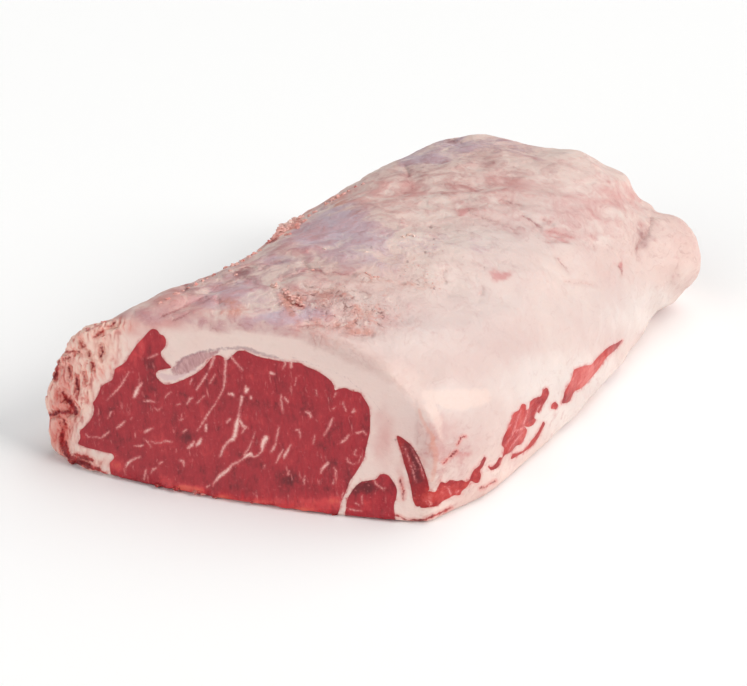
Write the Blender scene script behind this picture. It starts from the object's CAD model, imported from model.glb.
"""Whole raw beef striploin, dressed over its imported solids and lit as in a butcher's photograph.

Metres, +Z up, in the frame of the solids. Marks that were read off the photograph are held as
its pixels and are carried onto the meat along the camera's rays.
"""

import math

import bmesh
import bpy
import numpy as np
from mathutils import Matrix, Vector, noise
from mathutils.bvhtree import BVHTree
from mathutils.kdtree import KDTree


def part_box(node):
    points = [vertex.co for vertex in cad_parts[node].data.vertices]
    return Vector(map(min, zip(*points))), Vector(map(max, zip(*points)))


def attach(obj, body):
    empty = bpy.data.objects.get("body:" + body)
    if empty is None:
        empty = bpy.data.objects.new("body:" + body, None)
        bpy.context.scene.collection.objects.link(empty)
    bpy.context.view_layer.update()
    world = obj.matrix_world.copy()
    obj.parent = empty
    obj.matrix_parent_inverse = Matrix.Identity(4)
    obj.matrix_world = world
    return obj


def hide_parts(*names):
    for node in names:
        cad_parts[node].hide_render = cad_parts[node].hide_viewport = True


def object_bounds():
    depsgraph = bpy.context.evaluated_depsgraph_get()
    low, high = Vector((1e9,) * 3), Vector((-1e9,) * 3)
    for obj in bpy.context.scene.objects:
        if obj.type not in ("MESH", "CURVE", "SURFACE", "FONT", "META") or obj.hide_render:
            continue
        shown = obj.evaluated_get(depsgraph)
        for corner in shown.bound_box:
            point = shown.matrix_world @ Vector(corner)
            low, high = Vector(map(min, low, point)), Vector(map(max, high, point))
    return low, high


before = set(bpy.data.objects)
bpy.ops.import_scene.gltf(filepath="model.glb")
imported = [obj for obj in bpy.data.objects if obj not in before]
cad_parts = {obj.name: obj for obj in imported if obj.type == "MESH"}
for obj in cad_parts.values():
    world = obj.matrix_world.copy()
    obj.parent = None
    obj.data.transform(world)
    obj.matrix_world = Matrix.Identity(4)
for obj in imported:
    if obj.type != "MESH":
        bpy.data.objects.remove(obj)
cad_low, cad_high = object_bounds()

# The camera, where the photograph was taken from: a long lens, a little above the meat and to
# the right of its cut face. It comes first because it places what was read off the photograph.
PHOTO_WIDE, PHOTO_HIGH = 747, 686
FOCAL = 2300  # pixels of the photograph
SENSOR = 36.0  # mm
STAND = Vector((0.44422, -1.15724, 0.4882))
LOOK = Vector((-0.3497, 0.8656, -0.3584)).normalized()
ACROSS = LOOK.cross(Vector((0, 0, 1))).normalized()
RISE = ACROSS.cross(LOOK)

camera = bpy.data.objects.new("camera", bpy.data.cameras.new("camera"))
camera.data.sensor_width = SENSOR
camera.data.lens = FOCAL * SENSOR / PHOTO_WIDE
axes = Matrix((ACROSS, RISE, -LOOK)).transposed().to_4x4()
camera.matrix_world = Matrix.Translation(STAND) @ axes
bpy.context.scene.collection.objects.link(camera)
bpy.context.scene.camera = camera


def ray(x, y):
    """Direction in which the camera sees a pixel of the photograph."""
    across, down = x - PHOTO_WIDE / 2, y - PHOTO_HIGH / 2
    return (LOOK * FOCAL + ACROSS * across - RISE * down).normalized()


def in_photo(points):
    """The pixels of the photograph where points show."""
    away = points - np.array(STAND)
    depth = away @ np.array(LOOK) / FOCAL
    x = away @ np.array(ACROSS) / depth + PHOTO_WIDE / 2
    y = PHOTO_HIGH / 2 - away @ np.array(RISE) / depth
    return np.stack((x, y), axis=1)


# The whole loin before its muscles are told apart: one closed skin over all four solids, fine
# enough for the folds, lumps and torn edges of real fat, with its underside left flat.
SKIN_CELL = 0.0022
SKIN_SMOOTHING = (0.5, 3)  # strength and rounds
SAME_PLACE = 1e-5  # corners nearer to each other than this are one
EDGE_ROWS = 60  # places along the loin where its left edge is measured
ROW_REACH = 0.008  # how far to both sides of such a place its points may lie
LOW_LUMPS = (0.00050, 0.016)  # height and spacing of the swellings all over the fat
FINE_LUMPS = (0.00022, 0.006)
TORN_LUMPS = (0.0013, 0.013)  # the torn fat along the chain side, on the left
TORN_STRETCH = (1.0, 0.6, 1.0)
TORN_WIDTH = 0.030  # how far the torn fat reaches in from the left edge
# The torn near end, as (x, y, reach across, reach down, how much) in pixels of the photograph.
TORN_END = (
    (72, 372, 28, 40, 1.4), (95, 345, 26, 18, 1.2), (60, 430, 14, 34, 1.4), (112, 325, 20, 8, 0.9),
    (82, 400, 9, 18, 0.6), (82, 463, 24, 6, 1), (100, 365, 14, 10, 0.5),
)
HEM = (0.0014, 0.006)  # the uneven lower edge of the cut faces: depth and spacing
HEM_HEIGHT = 0.010
BOARD_RISE = 0.006  # height over which the relief dies out towards the board
FACE_DEPTH = 0.050  # how far from the ends a face can be a knife cut
FACE_TURN = (0.50, 0.80)  # share of a face's turn towards the end from which it counts as cut
CUT_CALM = 0.9  # share of the relief that is missing from a cut face
FOLDS = (0.0014, 0.022)  # long soft folds over the top, lying across the picture
FOLD_STRETCH = (0.6, 0.7, 1)
GRAZING = 0.05  # a place that turns to the camera less than this takes no dent
DOTS_APART = 0.4  # pixels, along a stroke
NEAREST_DOTS = 5  # of them that are asked, because a wide one may reach nearer than the nearest

# Where the ends of the plain solids are drawn in or out a little, as (x, y, reach across, reach
# down, how far right, how far down) in pixels of the photograph.
NUDGES = (
    (540, 140, 38, 14, 0, 9), (618, 178, 16, 14, 8, -2), (668, 206, 12, 9, -10, 4),
    (698, 255, 18, 34, -4, 0), (684, 300, 18, 20, -8, -1), (165, 296, 30, 12, 0, -4.5),
    (104, 320, 20, 10, 3, 3),
)

# Clefts in the torn fat at the left end of the near face, where red meat shows at the bottom,
# as (x, y, width) in pixels of the photograph.
CLEFTS = (
    ((59, 362, 2), (58, 368, 3), (56, 374, 4), (54, 378, 3)),
    ((77, 376, 1.5), (77, 383, 2), (78, 390, 1.5)), ((83, 372, 1.5), (85, 380, 1.5)),
    ((92, 363, 3), (93, 368, 2)), ((95, 337, 1.5), (100, 333, 2.5), (103, 331, 1.5)),
    ((66, 352, 1.6), (72, 352, 1.6), (80, 352, 1.2)), ((66, 358, 1.6), (70, 357, 1.2)),
    ((80, 341, 1), (84, 347, 1.4)),
    ((63, 393, 3), (66, 398, 4), (70, 402, 5), (74, 408, 6), (77, 414, 4)),
    ((50, 415, 3), (54, 414, 4), (60, 412, 4), (66, 413, 5), (72, 412, 4)),
    ((64, 420, 2), (66, 425, 2)),
    ((63, 430, 3), (62, 438, 6), (64, 446, 7), (66, 452, 7), (70, 457, 7)),
    ((70, 457, 7), (76, 461, 7), (85, 464, 6), (92, 467, 5), (100, 471, 4), (106, 473, 3)),
    ((101, 346, 1.2), (103, 352, 1.6), (101, 357, 1.2)),
    ((69, 366, 1.2), (71, 372, 1.4), (70, 378, 1.2)), ((88, 352, 1), (90, 357, 1.4)),
    ((115, 322, 1.4), (111, 326, 1.8), (106, 327, 1.2)),
)
# Creases and thin dark lines in the fat, in the same way.
CREASES = (
    ((281, 279, 1.2), (286, 277, 1.4), (292, 276, 1), (300, 272, 1), (307, 270, 1.4), (313, 270, 2),
     (318, 271, 1.2), (325, 274, 1), (333, 272, 1.4), (340, 273, 1.8), (348, 275, 1.6),
     (353, 274, 0.8)),
    ((303, 263, 0.8), (308, 267, 1.2), (313, 270, 1.2)),
    ((284, 294, 1), (288, 298, 1.4), (293, 302, 1.6), (298, 306, 2), (303, 307, 1.2)),
    ((262, 268, 1), (268, 265, 1.4), (274, 263, 1.8), (281, 262, 1)),
    ((162, 316, 2), (170, 313, 1.8), (178, 309, 2.4), (188, 305, 2.2), (196, 301, 2),
     (205, 297, 1.4)),
    ((174, 320, 1.4), (182, 317, 1.4), (188, 314, 1)),
    ((208, 292, 1.2), (216, 288, 1.6), (225, 285, 1.4), (236, 282, 1)),
    ((216, 297, 1), (219, 300, 1.6), (218, 303, 1)),
    ((235, 272, 2.4), (240, 271, 2.6), (246, 268, 1.6), (253, 268, 1.8)),
    ((238, 278, 1.2), (245, 278, 1.6), (253, 280, 1.4)),
    ((183, 292, 1.6), (185, 288, 2.4), (187, 285, 1)),
    ((203, 277, 1), (207, 275, 1.8), (212, 274, 1)),
    ((501, 200, 1.4), (508, 202, 2), (515, 204, 1.8), (522, 206, 1.2)),
    ((470, 213, 0.8), (482, 217, 1.2), (494, 222, 1.2), (505, 226, 1.2), (516, 231, 0.8)),
    ((523, 216, 1.2), (529, 220, 1.6), (535, 224, 1.6), (541, 228, 1.2)),
    ((543, 219, 1.4), (548, 221, 1.6), (552, 223, 1)),
    ((548, 231, 1), (556, 233, 1.2), (563, 234, 0.8)),
    ((549, 240, 0.8), (558, 240, 1.2), (566, 241, 0.8)),
    ((557, 258, 1.2), (560, 262, 1.6), (565, 268, 1.4), (569, 272, 0.8)),
    ((592, 243, 1), (594, 248, 1.2)), ((619, 266, 1.6), (621, 270, 1.8), (622, 275, 1.4)),
    ((651, 218, 1), (651, 225, 1.4), (648, 231, 2.4), (645, 236, 3.2), (640, 240, 2.8),
     (637, 246, 2), (637, 252, 1.6), (638, 259, 0.8)),
    ((482, 286, 0), (483, 290, 0.3), (482, 294, 0)),
    ((445, 270, 0.8), (443, 276, 1), (445, 281, 0.8)),
    ((566, 282, 0.8), (580, 283, 1), (594, 285, 0.8)),
    ((298, 327, 1.4), (306, 326, 1.8), (316, 325, 1.4), (328, 327, 1.6), (337, 325, 1.2)),
    ((340, 332, 1.2), (352, 335, 1.8), (362, 336, 1.8), (372, 335, 1)),
    ((211, 325, 1), (213, 329, 1.6), (219, 331, 1)),
    ((172, 322, 1.2), (175, 325, 2), (178, 322, 1)),
    ((450, 140, 2.4), (455, 142, 1.8), (462, 143, 1.2)),
    ((404, 165, 1), (407, 170, 1.8), (408, 176, 1)),
)
DENTS = (  # what sinks into the fat, how deep, and over how many pixels its sides slope
    (CREASES, 0.0006, 1.6),
    (CREASES, 0.0006, 6.4),
    (CLEFTS, 0.0030, 2.2),
)


def linked(name, mesh):
    """An object with a mesh, or with a bmesh's."""
    if isinstance(mesh, bmesh.types.BMesh):
        built, mesh = mesh, bpy.data.meshes.new(name)
        built.to_mesh(mesh)
        built.free()
    made = bpy.data.objects.new(name, mesh)
    bpy.context.scene.collection.objects.link(made)
    return made


def settled(obj):
    """The object with its modifiers applied."""
    data = bpy.data.meshes.new_from_object(obj.evaluated_get(bpy.context.evaluated_depsgraph_get()))
    obj.modifiers.clear()
    obj.data = data
    return obj


def numbers(data, what):
    """A mesh's co or normal values, one row for each vertex."""
    values = np.empty(len(data.vertices) * 3, np.float32)
    data.vertices.foreach_get(what, values)
    return values.reshape(-1, 3).astype(float)


def set_down(data, points):
    """Moves a mesh's vertices to the points, none of them below the board."""
    points[:, 2] = np.maximum(points[:, 2], 0)
    data.vertices.foreach_set("co", points.astype(np.float32).ravel())


def eased(low, high, value):
    """0 below low, 1 above high and smooth between them; low may be the higher of the two."""
    t = np.clip((value - low) / (high - low), 0, 1)
    return t * t * (3 - 2 * t)


def lumps(points, spacing, detail=3, at=0.0):
    """Smooth random relief at each point, about from -1 to 1; at keeps two reliefs apart."""
    shift = Vector((at, at, at))
    return np.array([noise.fractal(Vector(p) / spacing + shift, 1.0, 2.0, detail) for p in points])


def outside(places, strokes):
    """How far each place lies outside the edge of the nearest stroke of (x, y, width)."""
    dots = []
    for stroke in strokes:
        for (ax, ay, aw), (bx, by, bw) in zip(stroke, stroke[1:] or stroke):
            count = max(1, round(math.hypot(bx - ax, by - ay) / DOTS_APART))
            for k in range(count + 1):
                t = k / count
                dots.append((ax + (bx - ax) * t, ay + (by - ay) * t, (aw + (bw - aw) * t) / 2))
    tree = KDTree(len(dots))
    for index, (x, y, _) in enumerate(dots):
        tree.insert((x, y, 0), index)
    tree.balance()
    found = (tree.find_n((x, y, 0), NEAREST_DOTS) for x, y in places)
    return np.array([min(apart - dots[index][2] for _, index, apart in near) for near in found])


whole = bmesh.new()
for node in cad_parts.values():
    whole.from_mesh(node.data)
bmesh.ops.remove_doubles(whole, verts=whole.verts, dist=SAME_PLACE)
loin = linked("loin", whole)
skin = loin.modifiers.new("one skin", "REMESH")
skin.mode = "VOXEL"
skin.voxel_size = SKIN_CELL
calm = loin.modifiers.new("calm", "SMOOTH")
calm.factor, calm.iterations = SKIN_SMOOTHING
settled(loin)

# The remesh leaves small shells in the gaps between the solids, so only the skin is kept.
whole = bmesh.new()
whole.from_mesh(loin.data)
loose = set(whole.verts)
kept = set()
while loose:
    part, front = set(), [loose.pop()]
    while front:
        corner = front.pop()
        part.add(corner)
        for edge in corner.link_edges:
            other = edge.other_vert(corner)
            if other in loose:
                loose.discard(other)
                front.append(other)
    kept = max(kept, part, key=len)
shells = [corner for corner in whole.verts if corner not in kept]
bmesh.ops.delete(whole, geom=shells, context="VERTS")
whole.to_mesh(loin.data)
whole.free()


def cut_share(points, normals):
    """1 on the two knife-cut faces, 0 elsewhere."""
    near = eased(*FACE_TURN, -normals[:, 1]) * (points[:, 1] < cad_low.y + FACE_DEPTH)
    far = eased(*FACE_TURN, normals[:, 1]) * (points[:, 1] > cad_high.y - FACE_DEPTH)
    return near + far


points, normals = numbers(loin.data, "co"), numbers(loin.data, "normal")
rows = np.linspace(cad_low.y, cad_high.y, EDGE_ROWS)
left_edge = np.array([points[abs(points[:, 1] - y) < ROW_REACH, 0].min() for y in rows])


def tinted(places, spots):
    """Sum of the soft oval spots of (x, y, reach across, reach down, how much) at each place."""
    total = np.zeros(len(places))
    for x, y, wide, tall, much in spots:
        across, down = (places[:, 0] - x) / wide, (places[:, 1] - y) / tall
        total += much * np.exp(-(across**2) - down**2)
    return total


def torn_share(points):
    """1 along the torn chain side on the left and round its near end, 0 over the smooth cap."""
    inward = points[:, 0] - np.interp(points[:, 1], rows, left_edge)
    side = eased(TORN_WIDTH, TORN_WIDTH / 4, inward)
    end = tinted(in_photo(points), TORN_END) * (points[:, 1] < cad_low.y + FACE_DEPTH)
    return np.clip(np.maximum(side, end), 0, 1)


ACROSS_TURN = math.atan2(ACROSS.y, ACROSS.x)
turned = points @ np.array(Matrix.Rotation(-ACROSS_TURN, 3, "Z")).T
ragged = torn_share(points) * eased(0, 2 * BOARD_RISE, points[:, 2])
cut = cut_share(points, normals)
free = eased(0, BOARD_RISE, points[:, 2]) * (1 - CUT_CALM * cut * (1 - ragged))
rise = LOW_LUMPS[0] * lumps(points, LOW_LUMPS[1])
rise += FINE_LUMPS[0] * lumps(points, FINE_LUMPS[1], at=7.0)
rise += FOLDS[0] * lumps(turned * FOLD_STRETCH, FOLDS[1], at=11.0) * (1 - ragged)
rise += ragged * TORN_LUMPS[0] * lumps(points * TORN_STRETCH, TORN_LUMPS[1], at=3.0)
seen = in_photo(points)
facing = -(normals @ np.array(LOOK))
for strokes, depth, slope in DENTS:
    apart = np.maximum(outside(seen, strokes), 0)
    rise -= depth * np.exp(-((apart / slope) ** 2)) * (facing > GRAZING)
hem = cut * eased(HEM_HEIGHT, 0.0, points[:, 2]) * HEM[0] * lumps(points, HEM[1], at=15.0)
moved = points + normals * (rise * free + hem)[:, None]
pixel = (points - np.array(STAND)) @ np.array(LOOK) / FOCAL  # metres to a pixel, at each point
pixel *= eased(0, 3 * BOARD_RISE, points[:, 2])
for way, which in ((ACROSS, 4), (-RISE, 5)):
    nudge = pixel * tinted(seen, [(*spot[:4], spot[which]) for spot in NUDGES])
    moved += nudge[:, None] * np.array(way)
set_down(loin.data, moved)
loin.data.update()


# How each muscle is cut out of that skin: a tube follows the course of its solid, whose left and
# right edges and top are measured at a row of stations. Its outline on the near face is drawn
# from the photograph instead.
STATIONS = 14
END_CLEAR = (0.065, 0.030)  # how far the first and last station stand from the slanting ends
OVERRUN = 0.02  # how far a muscle's tube passes both ends of the loin
INSIDE = 0.004  # how far in from the near face a tube starts to follow the muscle's course
INLAY_STAND = 0.010  # how far an inlay stands out in front of the skin
TOUCHING = 1e-7  # corners of a tube nearer to each other than this are one


def course(node):
    """(y, left, right, top) of a node at each station."""
    solid = bmesh.new()
    solid.from_mesh(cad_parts[node].data)
    low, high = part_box(node)
    found = []
    for y in np.linspace(low.y + END_CLEAR[0], high.y - END_CLEAR[1], STATIONS):
        sliced = solid.copy()
        every = sliced.verts[:] + sliced.edges[:] + sliced.faces[:]
        cut = bmesh.ops.bisect_plane(sliced, geom=every, plane_co=(0, y, 0), plane_no=(0, 1, 0))
        corners = [item.co for item in cut["geom_cut"] if isinstance(item, bmesh.types.BMVert)]
        xs, zs = [c.x for c in corners], [c.z for c in corners]
        found.append((y, min(xs), max(xs), max(zs)))
        sliced.free()
    solid.free()
    return np.array(found)


def through(points, count):
    """count points on the smooth closed curve through the points."""
    ring = np.array(points, float)
    before, after, beyond = np.roll(ring, 1, 0), np.roll(ring, -1, 0), np.roll(ring, -2, 0)
    made = []
    for k in range(count):
        place = k * len(ring) / count
        i, t = int(place), place - int(place)
        a, b, c, d = before[i], ring[i], after[i], beyond[i]
        square, cube = 2 * a - 5 * b + 4 * c - d, 3 * b - a - 3 * c + d
        made.append(0.5 * (2 * b + (c - a) * t + square * t**2 + cube * t**3))
    return made


def sleeve(rows, across, place):
    """A closed solid whose grid's rows close into rings; place(row, column) gives each point."""
    mesh = bmesh.new()
    bmesh.ops.create_grid(mesh, x_segments=across, y_segments=rows - 1, size=0.5)
    for corner in mesh.verts:
        column = round((corner.co.x + 0.5) * across) % across
        corner.co = place(round((corner.co.y + 0.5) * (rows - 1)), column)
    bmesh.ops.remove_doubles(mesh, verts=mesh.verts, dist=TOUCHING)
    bmesh.ops.holes_fill(mesh, edges=[edge for edge in mesh.edges if edge.is_boundary])
    bmesh.ops.triangulate(mesh, faces=mesh.faces)
    bmesh.ops.recalc_face_normals(mesh, faces=mesh.faces)
    return mesh


def parted(source, cutter):
    """What the source shares with the cutter's mesh, and what is left of the source."""
    tool = linked("cutter", cutter)
    made = []
    for operation in ("INTERSECT", "DIFFERENCE"):
        part = linked("part", source.data)
        cut = part.modifiers.new(operation, "BOOLEAN")
        cut.operation, cut.solver, cut.object = operation, "MANIFOLD", tool
        made.append(settled(part))
    bpy.data.objects.remove(tool)
    bpy.data.objects.remove(source)
    return made


seen_skin = BVHTree.FromObject(loin, bpy.context.evaluated_depsgraph_get())
FACE_MARKS = ((130, 450), (340, 450), (240, 385))  # three pixels on the near face, for its plane
face_marks = [seen_skin.ray_cast(STAND, ray(x, y))[0] for x, y in FACE_MARKS]
face_turn = (face_marks[1] - face_marks[0]).cross(face_marks[2] - face_marks[0])


def on_skin(x, y):
    """Where the ray through a pixel first meets the skin, or else the near face's plane."""
    way = ray(x, y)
    hit = seen_skin.ray_cast(STAND, way)[0]
    return hit or STAND + way * ((face_marks[0] - STAND).dot(face_turn) / way.dot(face_turn))


def muscle_tube(edge, count, node):
    """A solid that carries an edge, read off the near face, along the course of the node."""
    run = course(node)
    ends = [on_skin(x, y) for x, y in through(edge, count)]
    low, high, top = min(p.x for p in ends), max(p.x for p in ends), max(p.z for p in ends)
    rows = [None, None, *run, (cad_high.y + OVERRUN, *run[-1][1:])]

    def place(row, column):
        p = ends[column]
        if row < 2:
            return p + Vector((0, INSIDE if row else -OVERRUN, 0))
        y, left, right, height = rows[row]
        return Vector((left + (p.x - low) / (high - low) * (right - left), y, p.z / top * height))

    return sleeve(len(rows), count, place)


def inlay(edge, count, depth):
    """A shallow solid under an edge read off the skin, from in front of the skin to a depth."""
    outline = [(on_skin(x, y), ray(x, y)) for x, y in through(edge, count)]
    steps = (-INLAY_STAND, depth)

    def place(row, column):
        start, way = outline[column]
        return start + way * steps[row]

    return sleeve(2, count, place)


# The eye of lean: the one big muscle of the striploin, dark red, cut across its grain at both
# ends, with white and pink fat running through it in veins and flecks.
EYE_EDGE = (
    (148, 332), (152, 329), (157, 330), (160, 334), (164, 336), (166, 341), (165, 347), (161, 352),
    (162, 357), (165, 361), (169, 365), (171, 368), (165, 369), (158, 371), (156, 375), (159, 380),
    (164, 384), (171, 384), (180, 381), (187, 378), (195, 374), (203, 368), (208, 362), (213, 357),
    (218, 355), (223, 357), (226, 360), (230, 358), (234, 354), (238, 351), (245, 351), (252, 354),
    (260, 357), (270, 359), (279, 361), (288, 362), (300, 363), (305, 366), (315, 370), (325, 376),
    (331, 381), (334, 386), (335, 390), (339, 389), (345, 388), (352, 391), (360, 393), (365, 400),
    (369, 407), (370, 415), (370, 430), (368, 440), (366, 448), (364, 458), (360, 466), (355, 474),
    (350, 481), (347, 489), (344, 496), (341, 503), (338, 514), (330, 530), (250, 530), (170, 520),
    (125, 500), (113, 480), (110, 469), (110, 463), (114, 458), (112, 454), (104, 452), (96, 450),
    (88, 448), (80, 445), (78, 443), (80, 438), (80, 431), (84, 427), (89, 422), (92, 417),
    (94, 410), (93, 403), (96, 398), (99, 392), (101, 387), (106, 383), (112, 380), (114, 374),
    (115, 369), (120, 366), (126, 361), (129, 356), (133, 350), (138, 343), (143, 338),
)
EYE_SIDES = 380  # corners of the tube's outline
# Veins and flecks of fat on the near face, as (x, y, width) in pixels of the photograph.
MARBLING = (
    ((129, 372, 1.2), (126, 377, 1.6), (122, 384, 2.2), (117, 390, 2), (112, 395, 1.4),
     (107, 400, 0.8)),
    ((142, 383, 1.5), (138, 388, 4), (136, 393, 5), (134, 397, 3)),
    ((144, 401, 1), (150, 401, 2), (155, 402, 1.2)), ((155, 408, 1), (158, 410, 2), (161, 408, 1)),
    ((117, 428, 2), (121, 425, 3), (125, 421, 1.5)),
    ((86, 434, 1), (88, 437, 0.8), (95, 437, 0.8), (101, 438, 1.2), (105, 435, 2.5),
     (109, 432, 1.5)),
    ((145, 432, 2), (148, 430, 2.5), (153, 428, 1)),
    ((144, 439, 0.8), (148, 442, 1.4), (151, 447, 1)),
    ((151, 441, 0.8), (155, 443, 1.4), (160, 443, 1.4), (165, 441, 1.8), (172, 442, 1.2)),
    ((134, 446, 1), (140, 446, 2.5), (143, 445, 1.5)),
    ((126, 467, 1.5), (128, 463, 3.5), (132, 460, 2.5), (136, 458, 2), (140, 457, 2)),
    ((146, 470, 1.5), (145, 475, 2), (144, 479, 1.5)), ((151, 473, 1), (153, 469, 2)),
    ((148, 358, 0.8), (153, 356, 1.6), (158, 354, 1.2)), ((108, 418, 0.8), (111, 412, 1.2)),
    ((131, 419, 1.2), (132, 418, 1.2)),
    ((225, 356, 3), (225.5, 365, 2.6), (225, 372, 2.4), (225, 380, 2.2), (223.5, 388, 1.8),
     (221, 394, 1.2), (218, 399, 1.4), (214, 406, 1.6), (210, 411, 1.6), (206, 417, 2.2),
     (203, 422, 1.6), (200, 427, 1.3), (197, 431, 0.9)),
    ((231, 356, 2.6), (235, 362, 2.2), (239, 366, 1.8), (242.5, 370, 1.2)),
    ((214, 357, 3), (211, 366, 2.4), (209, 370, 1.5)),
    ((207, 374, 2), (203, 380, 2.6), (199, 386, 2.4), (196.5, 390, 1.2)),
    ((215, 375, 1.6), (212, 380, 1.6), (210, 383, 1)), ((192, 379, 1), (190, 384, 1.6)),
    ((204, 396, 1.5), (200, 400, 1.8), (197.5, 403, 1.2)),
    ((187, 404, 1.2), (190, 399, 3), (192, 398, 2)),
    ((165, 398, 0.8), (168, 394, 1.4), (171, 392, 1)), ((177, 405, 1.2), (180, 404, 1)),
    ((180, 420, 1.8), (183, 419, 1.2)), ((206, 425, 2.5), (206, 428, 3), (206, 431, 2)),
    ((183, 432, 1.8), (186, 430, 1.4)), ((188, 448, 2.5), (192, 445, 4), (194, 442, 2.5)),
    ((196, 446, 2), (199, 443, 4.5), (201, 439, 3)),
    ((180, 460, 1.6), (183, 461, 3), (184, 466, 1.6)), ((160, 463, 2.2), (162, 462, 1.2)),
    ((153, 470, 1.6), (156, 468, 1.6)), ((229, 394, 3), (232, 394, 3.6), (234, 396, 1.6)),
    ((246, 386, 1.5), (246, 391, 5), (248, 389, 3)), ((251, 396, 1.5), (251, 398, 2.6)),
    ((230, 419, 2), (227, 422, 2.2)),
    ((242, 397, 3.5), (241, 402, 3), (240, 406, 1.4), (239, 412, 1.4), (238.5, 417, 3),
     (237, 423, 5.5), (236, 429, 5), (235, 435, 5), (233, 439, 4.5), (229, 441, 3), (226, 444, 2.8),
     (223, 449, 3), (221.5, 454, 2.4), (219.5, 457, 1.2)),
    ((240, 421, 3), (243, 426, 3.4), (246, 427, 2.6), (243, 431, 2), (242, 433, 1.2)),
    ((266, 438, 6), (264, 441, 6), (262.5, 446, 5), (262, 451, 3), (258, 455, 1.4), (254, 457, 2),
     (250, 454, 5), (246, 456, 4), (243, 459, 2), (238, 462, 2), (233, 464, 2.2), (231, 466, 2.6),
     (228, 470, 4), (224, 473, 4.5), (220, 476, 4), (217, 479, 3.2), (215, 482, 1.6),
     (213, 484, 1)),
    ((210, 485, 1.4), (207, 487, 1.4)),
    ((252, 441, 1.6), (250, 446, 2), (247, 451, 2), (244, 455, 2.2)),
    ((255, 432, 0.8), (253, 438, 1)),
    ((279, 427, 1.4), (278, 432, 2), (276.5, 438, 2), (276, 441, 1.2)),
    ((276, 443, 1.6), (273, 449, 3), (271, 452, 1.6)),
    ((281, 395, 1.4), (281, 400, 1.8), (282, 408, 2), (283, 413, 1)),
    ((285, 398, 1.8), (288, 402, 2.2)),
    ((291, 445, 1.8), (288, 450, 3), (285, 455, 4), (284, 458, 2)),
    ((283, 450, 1.5), (280, 455, 2.4), (277, 461, 1.8), (276, 463, 1)),
    ((265, 465, 1), (264, 468, 1.2)), ((286, 357, 3), (285, 364, 2.4), (283, 369, 1)),
    ((291, 362, 3.5), (291, 367, 2.6)), ((271, 373, 3.6), (274, 374, 2)),
    ((296, 378, 1.2), (295, 385, 0.9)), ((316, 390, 1.2), (317, 395, 1)),
    ((306, 412, 1.6), (309, 413, 3), (311, 417, 2.2)),
    ((333, 418, 1), (331, 422, 2.6), (329, 427, 1.5), (326, 432, 1.4), (324, 435, 1.8)),
    ((296, 430, 1.2), (299, 430, 2.2), (300, 434, 1.8), (300, 438, 1)),
    ((315, 435, 1.2), (314, 440, 1.4), (313, 444, 1)),
    ((349, 435, 1.8), (346, 439, 2.6), (342, 442, 2.2), (340, 443, 1.2)),
    ((354, 409, 1.2), (353, 412, 2.8), (355, 411, 1.8)),
    ((356, 433, 1), (359, 433, 2), (363, 431, 1.2), (366, 434, 1.4)),
    ((343, 402, 1.2), (343, 404, 1.8), (345, 408, 1.4), (346, 411, 0.9)),
    ((336, 393, 1.4), (334, 397, 1)), ((333, 409, 1.4), (335, 407, 1)),
    ((328, 463, 2.6), (325, 466, 3), (322, 469, 2.6), (321, 473, 1.6)),
    ((334, 468, 1), (336, 471, 1.8), (335, 476, 1.2)), ((334, 480, 1.6), (333, 484, 1)),
    ((356, 450, 1.2), (354, 454, 1), (357, 456, 0.8)),
    ((347, 458, 1.2), (348, 462, 1), (353, 464, 0.8), (359, 462, 1.2), (361, 456, 0.8)),
    ((288, 474, 2), (289, 471, 1.2)), ((305, 476, 1), (304, 480, 1.8), (304, 484, 1.2)),
    ((319, 481, 0.9), (319, 484, 0.9)), ((344, 490, 1), (342, 497, 1.2), (340, 504, 1.6)),
)
# Darker and brighter places on the lean of the near face, as (x, y, reach across, reach down,
# how much) in pixels of the photograph.
LEAN_TONES = (
    (150, 372, 8, 16, -0.65), (155, 390, 9, 9, -0.5), (146, 363, 4, 7, -0.3),
    (150, 410, 14, 14, -0.3), (110, 410, 18, 20, -0.25), (186, 438, 10, 8, -0.8),
    (235, 482, 22, 13, -0.5), (256, 463, 14, 6, -0.4), (330, 396, 4, 12, -0.5),
    (300, 478, 12, 14, -0.4), (332, 468, 6, 8, -0.5), (350, 480, 6, 12, -0.8),
    (288, 482, 10, 16, -0.4), (364, 487, 14, 7, -1), (353, 494, 7, 8, -0.6), (370, 502, 9, 4, 0.6),
    (390, 492, 7, 10, -0.4), (130, 455, 16, 14, -0.3), (265, 405, 12, 16, -0.25),
    (145, 480, 20, 6, -0.4), (366, 420, 4, 24, -0.4), (142, 345, 5, 8, 0.9), (135, 357, 7, 7, 0.7),
    (119, 369, 5, 4, 0.9), (160, 341, 6, 7, 0.3), (113, 460, 7, 8, 0.9), (118, 466, 7, 6, 0.9),
    (165, 481, 8, 5, 0.9), (200, 490, 9, 5, 1.5), (183, 486, 8, 4, 0.7), (222, 497, 12, 4, 1.5),
    (245, 418, 5, 5, 0.4), (165, 440, 16, 6, 0.5), (155, 428, 10, 10, 0.3), (210, 445, 14, 14, 0.2),
    (225, 460, 10, 8, 0.3), (285, 460, 8, 8, 0.4), (320, 501, 26, 7, 0.7), (335, 501, 10, 6, 0.9),
    (260, 500, 34, 6, 0.6), (290, 505, 30, 5, 0.5), (365, 508, 16, 4, 0.4),
    (350, 410, 12, 18, 0.25), (84, 437, 7, 6, 0.5), (180, 488, 12, 3, 1.3), (300, 510, 26, 3, 1.2),
    (250, 502, 22, 3, 0.9),
)
NEAR_CUTS, FAR_CUTS = 3, 1  # how often an edge of the near and of the far face is divided
FACE_LIKE = 0.45  # turn towards an end from which a face belongs to the cut
MARBLED_FROM = 0.3  # turn towards an end from which a vertex takes veins
UNDERSIDE = (-0.6, -0.9)  # upward turn at which the underside starts and is complete
FAR_VEINS = 70
FAR_FIELD = ((-150, 0), (150, 140))  # two corners of the far face, in pixels
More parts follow.
